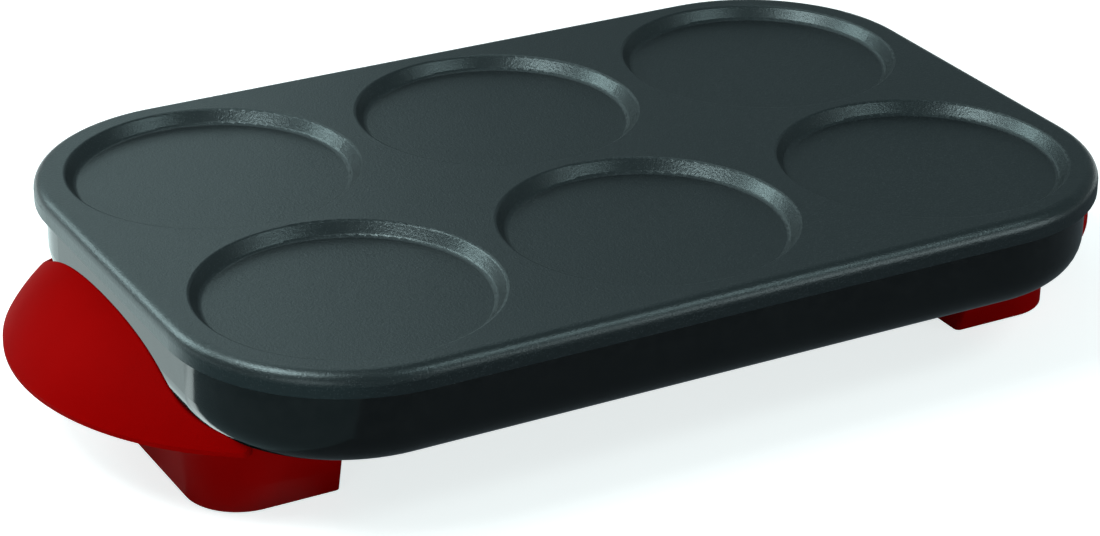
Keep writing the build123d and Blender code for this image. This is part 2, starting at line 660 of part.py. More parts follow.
# Sheathed heating element, bent to one flat serpentine under the wells
element_corners = [
    (TERMINAL_X, -TERMINAL_Y),
    (RUN_RIGHT_X, -TERMINAL_Y),
    (RUN_RIGHT_X, -RUN_OUTER_Y),
    (RUN_LEFT_X, -RUN_OUTER_Y),
    (RUN_LEFT_X, -RUN_INNER_Y),
    (RUN_MID_X, -RUN_INNER_Y),
]
element_route = [(x, y, ELEMENT_Z) for x, y in element_corners]
element_route += [(x, -y, ELEMENT_Z) for x, y in reversed(element_corners)]
element_bends = [SMALL_BEND_R] + [BEND_R] * (len(element_route) - 4) + [SMALL_BEND_R]
with BuildPart() as heating_element:
    tube_along(element_route, TUBE_R, element_bends)
heating_element.part.label = "heating_element"

# Insulating beads and flat-tabbed pins on the element's cold ends
terminal_places = [(-TERMINAL_Y, ELEMENT_Z), (TERMINAL_Y, ELEMENT_Z)]
with BuildPart() as element_beads:
    with BuildSketch(Plane.YZ.offset(TERMINAL_X)):
        with Locations(*terminal_places):
            Circle(BEAD_R)
            Circle(PIN_R + GROMMET_FIT, mode=Mode.SUBTRACT)
    extrude(amount=BEAD_LENGTH)
    end_edges = element_beads.edges().filter_by(GeomType.CIRCLE).group_by(Axis.X)[-1]
    chamfer(end_edges.sort_by(SortBy.RADIUS)[-2:], 1)
element_beads.part.label = "element_beads"

with BuildPart() as element_pins:
    with BuildSketch(Plane.YZ.offset(TERMINAL_X)):
        with Locations(*terminal_places):
            Circle(PIN_R)
    extrude(amount=BEAD_LENGTH + PIN_LENGTH)
    with BuildSketch(Plane.YZ.offset(TAB_START_X)):
        with Locations(*terminal_places):
            Rectangle(TAB_WIDTH, TAB_THICKNESS)
    extrude(amount=TAB_LENGTH + PIN_LENGTH / 2)
element_pins.part.label = "element_pins"

# Clips that carry the element above the tray
with BuildPart() as element_clips:
    for clip_x in (-CLIP_X, CLIP_X):
        with BuildSketch(Plane.YZ.offset(clip_x - CLIP_WIDTH / 2)):
            for run_y in (-RUN_OUTER_Y, -RUN_INNER_Y, RUN_INNER_Y, RUN_OUTER_Y):
                with Locations((run_y, ELEMENT_Z)):
                    Circle(TUBE_R + CLIP_SHEET)
                with Locations((run_y, TRAY_TOP_Z)):
                    Rectangle(2 * CLIP_SHEET, TUBE_R, align=(Align.CENTER, Align.MIN))
                    Rectangle(CLIP_FOOT, CLIP_SHEET, align=(Align.CENTER, Align.MIN))
                with Locations((run_y, ELEMENT_Z)):
                    Circle(TUBE_R + GROMMET_FIT, mode=Mode.SUBTRACT)
        extrude(amount=CLIP_WIDTH)
element_clips.part.label = "element_clips"

# Reflector tray with a turned-up lip and a window below the thermostat
tray_length = TRAY_RIGHT_X - TRAY_LEFT_X
tray_middle_x = (TRAY_RIGHT_X + TRAY_LEFT_X) / 2
with BuildPart() as reflector_tray:
    with BuildSketch(Plane.XY.offset(TRAY_TOP_Z - TRAY_SHEET)):
        with Locations((tray_middle_x, 0)):
            RectangleRounded(tray_length, TRAY_WIDTH, TRAY_CORNER)
    extrude(amount=TRAY_SHEET + TRAY_LIP)
    offset(amount=-TRAY_SHEET, openings=reflector_tray.faces().sort_by(Axis.Z)[-1])
    with BuildSketch(Plane.XY.offset(TRAY_TOP_Z - TRAY_SHEET)):
        with Locations((THERMOSTAT_X, 0)):
            RectangleRounded(TRAY_WINDOW_LENGTH, TRAY_WINDOW_WIDTH, INLET_ROUND)
        with Locations(*SPACER_PLACES):
            Circle(TRAY_SCREW_R + SCREW_CLEARANCE)
    extrude(amount=TRAY_SHEET, mode=Mode.SUBTRACT)
reflector_tray.part.label = "reflector_tray"

with BuildPart() as tray_spacers:
    with BuildSketch(Plane.XY.offset(PAN_FLOOR_Z)):
        with Locations(*SPACER_PLACES):
            Circle(SPACER_R)
    extrude(amount=TRAY_TOP_Z - TRAY_SHEET - PAN_FLOOR_Z)
    with BuildSketch(Plane.XY.offset(TRAY_TOP_Z - TRAY_SHEET)):
        with Locations(*SPACER_PLACES):
            Circle(TRAY_SCREW_R + GROMMET_FIT)
    extrude(amount=-TRAY_SCREW_LENGTH, mode=Mode.SUBTRACT)
tray_spacers.part.label = "tray_spacers"

with BuildPart() as tray_screws:
    with BuildSketch(Plane.XY.offset(TRAY_TOP_Z)):
        with Locations(*SPACER_PLACES):
            Circle(TRAY_HEAD_R)
    extrude(amount=TRAY_HEAD_DEPTH)
    fillet(tray_screws.edges().group_by(Axis.Z)[-1], TRAY_HEAD_DEPTH * 0.6)
    with BuildSketch(Plane.XY.offset(TRAY_TOP_Z)):
        with Locations(*SPACER_PLACES):
            Circle(TRAY_SCREW_R)
    extrude(amount=-(TRAY_SCREW_LENGTH - TRAY_SHEET))
tray_screws.part.label = "tray_screws"
parts += [heating_element, element_beads, element_pins, element_clips]
parts += [reflector_tray, tray_spacers, tray_screws]

# Snap-disc thermostat on a bridge over the tray, with its cap just under the plate
with BuildPart() as thermostat_body:
    with BuildSketch(Plane.XY.offset(THERMOSTAT_BASE_Z)):
        with Locations((THERMOSTAT_X, 0)):
            Circle(THERMOSTAT_R)
    extrude(amount=THERMOSTAT_CAP_Z - THERMOSTAT_BASE_Z)
    chamfer(thermostat_body.edges().group_by(Axis.Z)[0], 1)
thermostat_body.part.label = "thermostat_body"

with BuildPart() as thermostat_cap:
    with BuildSketch(Plane.XY.offset(THERMOSTAT_CAP_Z)):
        with Locations((THERMOSTAT_X, 0)):
            Circle(THERMOSTAT_CAP_R)
    extrude(amount=THERMOSTAT_TOP_Z - THERMOSTAT_CAP_Z)
    fillet(thermostat_cap.edges().group_by(Axis.Z)[-1], 1)
thermostat_cap.part.label = "thermostat_cap"

with BuildPart() as thermostat_tabs:
    with BuildSketch(Plane.XY.offset(THERMOSTAT_BASE_Z)):
        with Locations((THERMOSTAT_X, -THERMOSTAT_TAB_Y), (THERMOSTAT_X, THERMOSTAT_TAB_Y)):
            Rectangle(TAB_WIDTH, TAB_THICKNESS)
    extrude(amount=-THERMOSTAT_TAB_DROP)
thermostat_tabs.part.label = "thermostat_tabs"

with BuildPart() as thermostat_bridge:
    with BuildSketch(Plane.XZ.offset(-BRACKET_WIDTH / 2)):
        with Locations((THERMOSTAT_X, TRAY_TOP_Z)):
            Rectangle(BRACKET_LENGTH + 2 * BRACKET_FOOT, TRAY_SHEET, align=(Align.CENTER, Align.MIN))
            Rectangle(BRACKET_LENGTH, THERMOSTAT_CAP_Z - TRAY_TOP_Z, align=(Align.CENTER, Align.MIN))
            Rectangle(
                BRACKET_LENGTH - 2 * TRAY_SHEET,
                THERMOSTAT_CAP_Z - TRAY_TOP_Z - TRAY_SHEET,
                align=(Align.CENTER, Align.MIN),
                mode=Mode.SUBTRACT,
            )
    extrude(amount=BRACKET_WIDTH)
    with BuildSketch(Plane.XY.offset(THERMOSTAT_CAP_Z)):
        with Locations((THERMOSTAT_X, 0)):
            Circle(THERMOSTAT_R + SCREW_CLEARANCE)
    extrude(amount=-2 * TRAY_SHEET, mode=Mode.SUBTRACT)
thermostat_bridge.part.label = "thermostat_bridge"

# Thermal fuse in the live wire, lying along Y
with BuildPart() as thermal_fuse:
    with BuildSketch(Plane(origin=(LIVE_X, FUSE_START_Y - FUSE_LEAD_LENGTH, FUSE_Z), z_dir=(0, -1, 0))):
        Circle(FUSE_R)
    extrude(amount=FUSE_LENGTH)
    fillet(thermal_fuse.edges().filter_by(GeomType.CIRCLE), FUSE_R / 3)
thermal_fuse.part.label = "thermal_fuse"

with BuildPart() as fuse_wires:
    for start_y in (FUSE_START_Y, FUSE_START_Y - FUSE_LEAD_LENGTH - FUSE_LENGTH):
        with BuildSketch(Plane(origin=(LIVE_X, start_y, FUSE_Z), z_dir=(0, -1, 0))):
            Circle(FUSE_LEAD_R)
        extrude(amount=FUSE_LEAD_LENGTH)
fuse_wires.part.label = "fuse_wires"
parts += [thermostat_body, thermostat_cap, thermostat_tabs, thermostat_bridge, thermal_fuse, fuse_wires]

# Mains inlet: a moulded body with a recess for the connector, and three flat pins with tabs behind
with BuildPart() as inlet_housing:
    with BuildSketch(INLET_PLANE.offset(-INLET_BODY_DEPTH)):
        Rectangle(INLET_BODY_WIDTH, INLET_BODY_HEIGHT)
    extrude(amount=INLET_BODY_DEPTH)
    with BuildSketch(INLET_PLANE):
        RectangleRounded(
            INLET_BODY_WIDTH + 2 * INLET_FLANGE_MARGIN,
            INLET_BODY_HEIGHT + 2 * INLET_FLANGE_MARGIN,
            INLET_ROUND,
        )
    extrude(amount=INLET_FLANGE)
    with BuildSketch(INLET_PLANE.offset(INLET_FLANGE)):
        Rectangle(INLET_RECESS_WIDTH, INLET_RECESS_HEIGHT)
    extrude(amount=-INLET_RECESS_DEPTH, mode=Mode.SUBTRACT)
    with BuildSketch(INLET_PLANE.offset(INLET_FLANGE)):
        with Locations(*PIN_PLACES):
            Rectangle(INLET_PIN_WIDTH + 2 * GROMMET_FIT, INLET_PIN_HEIGHT + 2 * GROMMET_FIT)
    extrude(amount=-2 * INLET_BODY_DEPTH, mode=Mode.SUBTRACT)
inlet_housing.part.label = "inlet_housing"

with BuildPart() as inlet_pins:
    with BuildSketch(INLET_PLANE.offset(INLET_FLANGE - INLET_PIN_SETBACK)):
        with Locations(*PIN_PLACES):
            Rectangle(INLET_PIN_WIDTH, INLET_PIN_HEIGHT)
    extrude(amount=-(INLET_FLANGE - INLET_PIN_SETBACK + INLET_BODY_DEPTH + INLET_TAB_LENGTH))
    chamfer(inlet_pins.faces().group_by(Axis.Y)[-1].edges(), 0.5)
inlet_pins.part.label = "inlet_pins"

# Pilot light: a holder pushed into the column from above, a domed lens and a neon lamp
with BuildPart() as pilot_holder:
    with BuildSketch(PILOT_PLANE.offset(-PILOT_SINK)):
        Circle(PILOT_FLANGE_R)
    extrude(amount=PILOT_FLANGE)
    with BuildSketch(PILOT_PLANE.offset(-PILOT_SINK)):
        Circle(PILOT_HOLDER_R)
    extrude(amount=-(PILOT_HOLDER_DEPTH - PILOT_SINK - PILOT_FLANGE))
    with BuildSketch(PILOT_PLANE.offset(PILOT_FLANGE - PILOT_SINK)):
        Circle(PILOT_HOLDER_BORE_R)
    extrude(amount=-2 * PILOT_HOLDER_DEPTH, mode=Mode.SUBTRACT)
pilot_holder.part.label = "pilot_holder"

with BuildPart() as pilot_lens:
    with BuildSketch(PILOT_PLANE.offset(PILOT_FLANGE - PILOT_SINK)):
        Circle(PILOT_LENS_R)
    extrude(amount=PILOT_LENS_RISE)
    lens_axis = Axis(PILOT_PLANE.origin, PILOT_PLANE.z_dir)
    lens_edges = pilot_lens.edges().filter_by(GeomType.CIRCLE).sort_by(lens_axis)
    fillet(lens_edges[-1], PILOT_LENS_RISE * 0.9)
    with BuildSketch(PILOT_PLANE.offset(PILOT_FLANGE - PILOT_SINK)):
        Circle(PILOT_HOLDER_BORE_R - SCREW_CLEARANCE)
    extrude(amount=-PILOT_LENS_SKIRT)
    with BuildSketch(PILOT_PLANE.offset(PILOT_FLANGE - PILOT_SINK)):
        Circle(PILOT_HOLDER_BORE_R - SCREW_CLEARANCE - PILOT_LENS_WALL)
    extrude(amount=-PILOT_LENS_SKIRT, mode=Mode.SUBTRACT)
pilot_lens.part.label = "pilot_lens"

with BuildPart() as pilot_lamp:
    with BuildSketch(PILOT_PLANE.offset(-LAMP_START)):
        Circle(LAMP_R)
    extrude(amount=-LAMP_LENGTH)
    fillet(pilot_lamp.edges().filter_by(GeomType.CIRCLE), LAMP_R * 0.6)
pilot_lamp.part.label = "pilot_lamp"
parts += [inlet_housing, inlet_pins, pilot_holder, pilot_lens, pilot_lamp]

# Rubber bush where the wires go up into the pan, and the earth stud with its ring tag
with BuildPart() as wire_grommet:
    bush_low_z = ROOF_UNDER_Z - GROMMET_LIP
    bush_top_z = PAN_FLOOR_Z + GROMMET_LIP
    with BuildSketch(Plane.XY.offset(bush_low_z)):
        with Locations((GROMMET_X, 0)):
            Circle(GROMMET_R - GROMMET_FIT)
    extrude(amount=bush_top_z - bush_low_z)
    for lip_z in (bush_low_z, PAN_FLOOR_Z):
        with BuildSketch(Plane.XY.offset(lip_z)):
            with Locations((GROMMET_X, 0)):
                Circle(GROMMET_R + GROMMET_LIP)
        extrude(amount=GROMMET_LIP)
    with BuildSketch(Plane.XY.offset(bush_low_z)):
        with Locations((GROMMET_X, 0)):
            Circle(GROMMET_BORE_R)
    extrude(amount=bush_top_z - bush_low_z, mode=Mode.SUBTRACT)
wire_grommet.part.label = "wire_grommet"

with BuildPart() as earth_stud:
    with BuildSketch(Plane.XY.offset(PAN_BASE_Z - MOUNT_HEAD_DEPTH)):
        with Locations((STUD_X, 0)):
            Circle(MOUNT_HEAD_R)
    extrude(amount=MOUNT_HEAD_DEPTH)
    fillet(earth_stud.edges().group_by(Axis.Z)[0], MOUNT_HEAD_DEPTH / 2)
    with BuildSketch(Plane.XY.offset(PAN_BASE_Z)):
        with Locations((STUD_X, 0)):
            Circle(STUD_R)
    extrude(amount=nut_top_z + RING_THICKNESS + 1 - PAN_BASE_Z)
    with BuildSketch(Plane.XY.offset(PAN_FLOOR_Z + RING_THICKNESS)):
        with Locations((STUD_X, 0)):
            RegularPolygon(NUT_WIDTH / 2, 6, major_radius=False)
    extrude(amount=NUT_HEIGHT)
earth_stud.part.label = "earth_stud"

with BuildPart() as earth_tag:
    with BuildSketch(Plane.XY.offset(PAN_FLOOR_Z)):
        with Locations((STUD_X, 0)):
            Circle(RING_R)
            Rectangle(RING_TONGUE + RING_R, RING_R, align=(Align.MIN, Align.CENTER))
            Circle(STUD_R + GROMMET_FIT, mode=Mode.SUBTRACT)
    extrude(amount=RING_THICKNESS)
earth_tag.part.label = "earth_tag"
parts += [wire_grommet, earth_stud, earth_tag]

# Wires, each a tube along straight runs with tangent arcs
for name, (points, radii) in WIRE_ROUTES.items():
    with BuildPart() as wire:
        tube_along(points, LEAD_R, radii)
    wire.part.label = name
    parts.append(wire)

for piece in parts:
    export_step(piece.part, f"parts/{piece.part.label}.step")
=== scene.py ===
"""Mini pancake maker: finishes, small trim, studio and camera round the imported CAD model.

The plate, pan, end pieces and inner works come from the CAD frame and keep their shapes. This script gives
them their finishes, adds the trim that the CAD leaves out, such as terminal sleeves and the tread of the foot
pads, and sets up a pale studio with the camera at the photograph's viewing angle. Sizes are in metres.

Seven finishes share their names with slot materials of the frame, so what wears them keeps the frame's plain
material; Paint says which.
"""

import logging
import math
from dataclasses import dataclass
from enum import Enum
from functools import cache
from typing import Callable, Sequence

import bmesh
import bpy
from mathutils import Matrix, Vector


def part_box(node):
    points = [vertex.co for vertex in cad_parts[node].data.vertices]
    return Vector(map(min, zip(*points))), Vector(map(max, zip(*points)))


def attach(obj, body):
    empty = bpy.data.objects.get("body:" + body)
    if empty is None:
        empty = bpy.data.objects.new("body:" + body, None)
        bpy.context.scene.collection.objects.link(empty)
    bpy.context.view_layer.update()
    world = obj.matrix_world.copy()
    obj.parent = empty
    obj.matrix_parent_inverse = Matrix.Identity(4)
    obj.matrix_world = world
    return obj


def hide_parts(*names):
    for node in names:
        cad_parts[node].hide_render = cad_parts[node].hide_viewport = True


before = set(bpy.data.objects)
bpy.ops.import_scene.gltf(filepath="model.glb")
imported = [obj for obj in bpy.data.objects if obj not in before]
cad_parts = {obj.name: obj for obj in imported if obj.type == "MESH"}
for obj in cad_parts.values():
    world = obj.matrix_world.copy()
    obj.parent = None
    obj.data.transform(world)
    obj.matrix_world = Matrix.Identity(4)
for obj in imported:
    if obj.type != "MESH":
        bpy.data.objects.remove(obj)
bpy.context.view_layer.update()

LOG = logging.getLogger("pancake_maker")
MM = 0.001
SHARP_ANGLE = math.radians(35.0)
WELD_DISTANCE = 1e-6

Colour = tuple[float, float, float]
Place = tuple[float, float, float]
Span = tuple[float, float]


def shade(colour: Colour, factor: float, lift: float = 0.0) -> Colour:
    """Make a colour darker or paler.

    Args:
        colour: Colour to start from.
        factor: Factor on each channel.
        lift: Amount added to each channel afterwards.

    Returns:
        The new colour.
    """
    red, green, blue = (factor * channel + lift for channel in colour)
    return red, green, blue


class Body(Enum):
    """The two rigid bodies of the maker."""

    BASE = "base"
    PLATE = "plate"


class Side(Enum):
    """The two ends of the maker, by the sign of their X."""

    LEFT = -1
    RIGHT = 1


# Shared shader effects, each a node group that puts out masks, heights or colours


class Effect:
    """A shader node group with named inputs and outputs, filled once and then reused."""

    def __init__(self, name: str, inputs: dict[str, float], outputs: Sequence[str]) -> None:
        """Make an empty group with float sockets.

        Args:
            name: Name of the node group.
            inputs: Input names and their default values.
            outputs: Output names.
        """
        self.tree = bpy.data.node_groups.new(name, "ShaderNodeTree")
        for title, value in inputs.items():
            socket = self.tree.interface.new_socket(title, in_out="INPUT", socket_type="NodeSocketFloat")
            socket.default_value = value
        for title in outputs:
            self.tree.interface.new_socket(title, in_out="OUTPUT", socket_type="NodeSocketFloat")
        self.source = self.tree.nodes.new("NodeGroupInput")
        self.result = self.tree.nodes.new("NodeGroupOutput")

    def add(self, kind: str, **settings: object) -> bpy.types.Node:
        """Add a node and set its properties.

        Args:
            kind: Node type.
            **settings: Property names and values.

        Returns:
            The new node.
        """
        node = self.tree.nodes.new(kind)
        for title, value in settings.items():
            setattr(node, title, value)
        return node

    def join(self, output: bpy.types.NodeSocket, target: bpy.types.NodeSocket) -> None:
        """Link an output socket to an input socket."""
        self.tree.links.new(output, target)

    def place_input(self) -> bpy.types.NodeSocket:
        """Object coordinates of the piece."""
        return self.add("ShaderNodeTexCoord").outputs["Object"]

    def math(self, kind: str, first: object, second: object) -> bpy.types.NodeSocket:
        """Add a math node.

        Args:
            kind: Operation.
            first: Socket or number.
            second: Socket or number.

        Returns:
            The result socket.
        """
        node = self.add("ShaderNodeMath", operation=kind)
        for slot, value in enumerate((first, second)):
            if isinstance(value, bpy.types.NodeSocket):
                self.join(value, node.inputs[slot])
            else:
                node.inputs[slot].default_value = value
        return node.outputs[0]

    def noise(self, scale: object, detail: float, roughness: float = 0.5) -> bpy.types.NodeSocket:
        """Add a noise texture on object coordinates.

        Args:
            scale: Socket or number, in cells per metre.
            detail: Number of octaves.
            roughness: How strong the finer octaves are.

        Returns:
            The noise value, about 0 to 1.
        """
        node = self.add("ShaderNodeTexNoise")
        self.join(self.place_input(), node.inputs["Vector"])
        if isinstance(scale, bpy.types.NodeSocket):
            self.join(scale, node.inputs["Scale"])
        else:
            node.inputs["Scale"].default_value = scale
        node.inputs["Detail"].default_value = detail
        node.inputs["Roughness"].default_value = roughness
        return node.outputs["Fac"]

    def ramp(self, value: bpy.types.NodeSocket, low: float, high: float) -> bpy.types.NodeSocket:
        """Stretch a value so that low becomes 0 and high becomes 1, clamped.

        Args:
            value: Socket to stretch.
            low: Value that becomes 0.
            high: Value that becomes 1.

        Returns:
            The stretched value.
        """
        node = self.add("ShaderNodeMapRange")
        self.join(value, node.inputs["Value"])
        node.inputs["From Min"].default_value = low
        node.inputs["From Max"].default_value = high
        return node.outputs["Result"]


@cache
def speckle_effect() -> bpy.types.NodeTree:
    """Fine pale flecks of a sprayed non-stick coat, with the coat's own coarser tooth."""
    fleck_edge, fleck_core, tooth_share = 0.42, 0.12, 0.6
    effect = Effect("FleckedCoat", {"Scale": 900.0, "Cover": 0.3}, ["Flecks", "Tooth"])
    cells = effect.add("ShaderNodeTexVoronoi", feature="F1")
    effect.join(effect.place_input(), cells.inputs["Vector"])
    effect.join(effect.source.outputs["Scale"], cells.inputs["Scale"])
    separate = effect.add("ShaderNodeSeparateColor")
    effect.join(cells.outputs["Color"], separate.inputs["Color"])
    chosen = effect.math("LESS_THAN", separate.outputs["Red"], effect.source.outputs["Cover"])
    core = effect.ramp(cells.outputs["Distance"], fleck_edge, fleck_core)
    strength = effect.math("MULTIPLY", core, separate.outputs["Green"])
    effect.join(effect.math("MULTIPLY", chosen, strength), effect.result.inputs["Flecks"])
    tooth_scale = effect.math("MULTIPLY", effect.source.outputs["Scale"], tooth_share)
    effect.join(effect.noise(tooth_scale, 3.0, 0.65), effect.result.inputs["Tooth"])
    return effect.tree


@cache
def grain_effect() -> bpy.types.NodeTree:
    """Spark-eroded grain of a moulding tool, as a height and a faint tone."""
    drift_scale, low, high = 22.0, 0.3, 0.7
    effect = Effect("MouldGrain", {"Scale": 1400.0}, ["Height", "Tone"])
    fine = effect.noise(effect.source.outputs["Scale"], 2.0, 0.6)
    effect.join(effect.ramp(fine, low, high), effect.result.inputs["Height"])
    broad = effect.noise(drift_scale, 3.0, 0.55)
    effect.join(effect.ramp(broad, low, high), effect.result.inputs["Tone"])
    return effect.tree


@cache
def smudge_effect() -> bpy.types.NodeTree:
    """Broad soft wipes and handling marks that change how glossy a surface is."""
    bare, wiped, soft_ratio = 0.35, 0.75, 4.0
    effect = Effect("WipeMarks", {"Scale": 14.0}, ["Mask"])
    broad = effect.noise(effect.source.outputs["Scale"], 1.5, 0.4)
    soft_scale = effect.math("MULTIPLY", effect.source.outputs["Scale"], soft_ratio)
    soft = effect.ramp(effect.noise(soft_scale, 1.0, 0.4), 0.1, 0.9)
    effect.join(effect.math("MULTIPLY", effect.ramp(broad, bare, wiped), soft), effect.result.inputs["Mask"])
    return effect.tree


@cache
def dust_effect() -> bpy.types.NodeTree:
    """Thin settled dust on what faces up, broken up by a fine noise."""
    steep, level, mote_scale = 0.55, 0.98, 700.0
    effect = Effect("SettledDust", {"Amount": 0.1}, ["Mask"])
    shape = effect.add("ShaderNodeNewGeometry")
    axes = effect.add("ShaderNodeSeparateXYZ")
    effect.join(shape.outputs["Normal"], axes.inputs["Vector"])
    upward = effect.ramp(axes.outputs["Z"], steep, level)
    motes = effect.ramp(effect.noise(mote_scale, 3.0, 0.7), 0.45, 0.8)
    amount = effect.math("MULTIPLY", effect.source.outputs["Amount"], motes)
    effect.join(effect.math("MULTIPLY", upward, amount), effect.result.inputs["Mask"])
    return effect.tree


@cache
def wear_effect() -> bpy.types.NodeTree:
    """Rubbed convex edges, from the shape's own curvature."""
    full_wear, patch_scale = 0.06, 160.0
    effect = Effect("RubbedEdges", {"Start": 0.52, "Amount": 0.5}, ["Mask"])
    shape = effect.add("ShaderNodeNewGeometry")
    above = effect.math("SUBTRACT", shape.outputs["Pointiness"], effect.source.outputs["Start"])
    sharp = effect.ramp(above, 0.0, full_wear)
    patchy = effect.ramp(effect.noise(patch_scale, 3.0, 0.6), 0.4, 0.65)
    mask = effect.math("MULTIPLY", sharp, patchy)
    effect.join(effect.math("MULTIPLY", mask, effect.source.outputs["Amount"]), effect.result.inputs["Mask"])
    return effect.tree


# Finishes


class Recipe:
    """A material being put together: its node tree, its Principled BSDF and short ways to feed it."""

    def __init__(self, name: str) -> None:
        """Start a material with a bare Principled BSDF.

        Args:
            name: Name of the material.
        """
        self.material = bpy.data.materials.new(name)
        self.material.use_nodes = True
        self.tree = self.material.node_tree
        self.shader = self.tree.nodes["Principled BSDF"]

    def set(self, **values: object) -> None:
        """Set sockets of the Principled BSDF, with underscores for the spaces in their names."""
        for title, value in values.items():
            self.shader.inputs[title.replace("_", " ")].default_value = value

    def effect(self, maker: Callable[[], bpy.types.NodeTree], **values: float) -> bpy.types.Node:
        """Place a shared effect with its own values.

        Args:
            maker: Effect function, which builds its group once and then returns it.
            **values: Values of its inputs.

        Returns:
            The group node.
        """
        node = self.tree.nodes.new("ShaderNodeGroup")
        node.node_tree = maker()
        for title, value in values.items():
            node.inputs[title].default_value = value
        return node

    def blend(self, mask: bpy.types.NodeSocket, low: object, high: object) -> bpy.types.NodeSocket:
        """Mix two colours by a mask.

        Args:
            mask: Share of the second colour.
            low: Colour or socket where the mask is 0.
            high: Colour or socket where the mask is 1.

        Returns:
            The mixed colour.
        """
        node = self.tree.nodes.new("ShaderNodeMix")
        node.data_type = "RGBA"
        self.tree.links.new(mask, node.inputs["Factor"])
        for socket, value in ((node.inputs[6], low), (node.inputs[7], high)):
            if isinstance(value, bpy.types.NodeSocket):
                self.tree.links.new(value, socket)
            else:
                socket.default_value = (*value, 1.0)
        return node.outputs[2]

    def between(self, mask: bpy.types.NodeSocket, low: float, high: float) -> bpy.types.NodeSocket:
        """Turn a mask into a value between two numbers.

        Args:
            mask: Value from 0 to 1.
            low: Result where the mask is 0.
            high: Result where the mask is 1.

        Returns:
            The value.
        """
        node = self.tree.nodes.new("ShaderNodeMapRange")
        self.tree.links.new(mask, node.inputs["Value"])
        node.inputs["To Min"].default_value = low
        node.inputs["To Max"].default_value = high
        return node.outputs["Result"]

    def feed(self, socket: bpy.types.NodeSocket, title: str) -> None:
        """Link a socket to one of the Principled BSDF's inputs."""
        self.tree.links.new(socket, self.shader.inputs[title])

    def bump(self, height: bpy.types.NodeSocket, depth: float, strength: float = 1.0) -> None:
        """Feed a height to the normal through a Bump node.

        Args:
            height: Height mask.
            depth: Depth of the relief in metres.
            strength: Share of the relief that shows.
        """
        node = self.tree.nodes.new("ShaderNodeBump")
        node.inputs["Distance"].default_value = depth
        node.inputs["Strength"].default_value = strength
        self.tree.links.new(height, node.inputs["Height"])
        self.feed(node.outputs["Normal"], "Normal")


@dataclass(frozen=True)
class Finish:
    """Base of all finishes.

    Attributes:
        name: Name of the material.
    """

    name: str

    def material(self) -> bpy.types.Material:
        """Return the material of this name, the frame's own included, or build it if there is none."""
        held = bpy.data.materials.get(self.name)
        if held is None:
            recipe = Recipe(self.name)
            self.mix(recipe)
            held = recipe.material
        return held

    def mix(self, recipe: Recipe) -> None:
        """Fill in the recipe; each finish has its own way."""
        raise NotImplementedError


@dataclass(frozen=True)
class NonStickCoat(Finish):
    """Dark sprayed non-stick coat with fine pale flecks.

    Attributes:
        ground: Colour between the flecks.
        fleck: Colour of the flecks.
        dust: Colour of settled dust.
        sheen: Tint of the reflection.
        fleck_scale: Flecks per metre along a line.
        fleck_cover: Share of the cells that hold a fleck.
        tooth_shading: Factors on the ground colour that paint shade into the pits of the tooth and light onto
            its tops.
        roughness: Roughness of the clean and of the wiped surface.
        ior: Index of refraction, which sets how strongly the coat reflects.
        tooth: Depth of the coat's tooth in metres.
    """

    ground: Colour = (0.0058, 0.0082, 0.0093)
    fleck: Colour = (0.055, 0.068, 0.072)
    dust: Colour = (0.2, 0.2, 0.19)
    sheen: Colour = (0.78, 0.98, 1.0)
    fleck_scale: float = 1500.0
    fleck_cover: float = 0.5
    tooth_shading: Span = (0.7, 1.3)
    roughness: Span = (0.34, 0.31)
    ior: float = 1.7
    tooth: float = 0.15 * MM

    def mix(self, recipe: Recipe) -> None:
        """Flecks over a toothy ground, with wipe marks and a little dust."""
        flecks = recipe.effect(speckle_effect, Scale=self.fleck_scale, Cover=self.fleck_cover)
        wipes = recipe.effect(smudge_effect, Scale=7.0)
        dust = recipe.effect(dust_effect, Amount=0.02)
        # The ground colour is darker in the tooth's pits and paler on its tops, as painted shade and painted
        # light that follow the bump.
        pit, top = (shade(self.ground, factor) for factor in self.tooth_shading)
        ground = recipe.blend(flecks.outputs["Tooth"], pit, top)
        coat = recipe.blend(flecks.outputs["Flecks"], ground, self.fleck)
        recipe.feed(recipe.blend(dust.outputs["Mask"], coat, self.dust), "Base Color")
        recipe.feed(recipe.between(wipes.outputs["Mask"], *self.roughness), "Roughness")
        recipe.set(IOR=self.ior, Specular_Tint=(*self.sheen, 1.0))
        recipe.bump(flecks.outputs["Tooth"], self.tooth)


@dataclass(frozen=True)
class GlossEnamel(Finish):
    """Gloss black paint baked on pressed steel, with a faint orange peel.

    Attributes:
        colour: Colour of the paint.
        rubbed: Colour where an edge is rubbed.
        drift: Factor on the colour where its tone is palest.
        roughness: Roughness of the clean and of the wiped surface.
        ripple: Depth of the orange peel in metres.
    """

    colour: Colour = (0.0035, 0.0046, 0.0048)
    rubbed: Colour = (0.03, 0.032, 0.033)
    drift: float = 1.35
    roughness: Span = (0.11, 0.16)
    ripple: float = 0.02 * MM

    def mix(self, recipe: Recipe) -> None:
        """Deep black with wipe marks, rubbed edges and a faint ripple."""
        wipes = recipe.effect(smudge_effect, Scale=11.0)
        peel = recipe.effect(grain_effect, Scale=150.0)
        wear = recipe.effect(wear_effect, Start=0.53, Amount=0.25)
        tone = recipe.blend(peel.outputs["Tone"], self.colour, shade(self.colour, self.drift))
        recipe.feed(recipe.blend(wear.outputs["Mask"], tone, self.rubbed), "Base Color")
        recipe.feed(recipe.between(wipes.outputs["Mask"], *self.roughness), "Roughness")
        recipe.bump(peel.outputs["Height"], self.ripple, strength=0.4)


